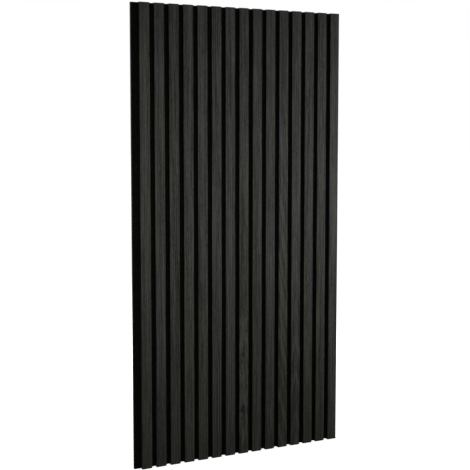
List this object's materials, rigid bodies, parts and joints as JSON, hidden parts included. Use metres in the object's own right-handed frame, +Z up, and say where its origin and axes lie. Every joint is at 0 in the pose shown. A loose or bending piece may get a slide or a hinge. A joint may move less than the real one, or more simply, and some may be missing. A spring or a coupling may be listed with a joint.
{
  "type": "acoustic slat wall panel",
  "caption": "Tall wall panel of upright charcoal wood-veneered slats, evenly spaced on a black felt board that laps out past the slats on one side.",
  "frame": {"origin": "middle of the felt's back face, which lies against the wall", "axes": "+Z up along the slats, +Y out of the back face into the wall, so the slats face -Y, +X to the right seen from the room, and the bare lap of felt is on the -X side"},
  "size_m": [0.605, 0.021, 1.2],
  "materials": {
    "felt": "matt needled felt",
    "core_board": "matt black dyed fibreboard",
    "veneer": "matt charcoal stained open-grain veneer",
    "staple_wire": "galvanised wire"
  },
  "bodies": {
    "root": {"felt_backing": "felt", "staples": "staple_wire", "slat_core_01": "core_board", "veneer_01": "veneer", "slat_core_02": "core_board", "veneer_02": "veneer", "slat_core_03": "core_board", "veneer_03": "veneer", "slat_core_04": "core_board", "veneer_04": "veneer", "slat_core_05": "core_board", "veneer_05": "veneer", "slat_core_06": "core_board", "veneer_06": "veneer", "slat_core_07": "core_board", "veneer_07": "veneer", "slat_core_08": "core_board", "veneer_08": "veneer", "slat_core_09": "core_board", "veneer_09": "veneer", "slat_core_10": "core_board", "veneer_10": "veneer", "slat_core_11": "core_board", "veneer_11": "veneer", "slat_core_12": "core_board", "veneer_12": "veneer", "slat_core_13": "core_board", "veneer_13": "veneer", "slat_core_14": "core_board", "veneer_14": "veneer", "slat_core_15": "core_board", "veneer_15": "veneer"}
  },
  "joints": []
}
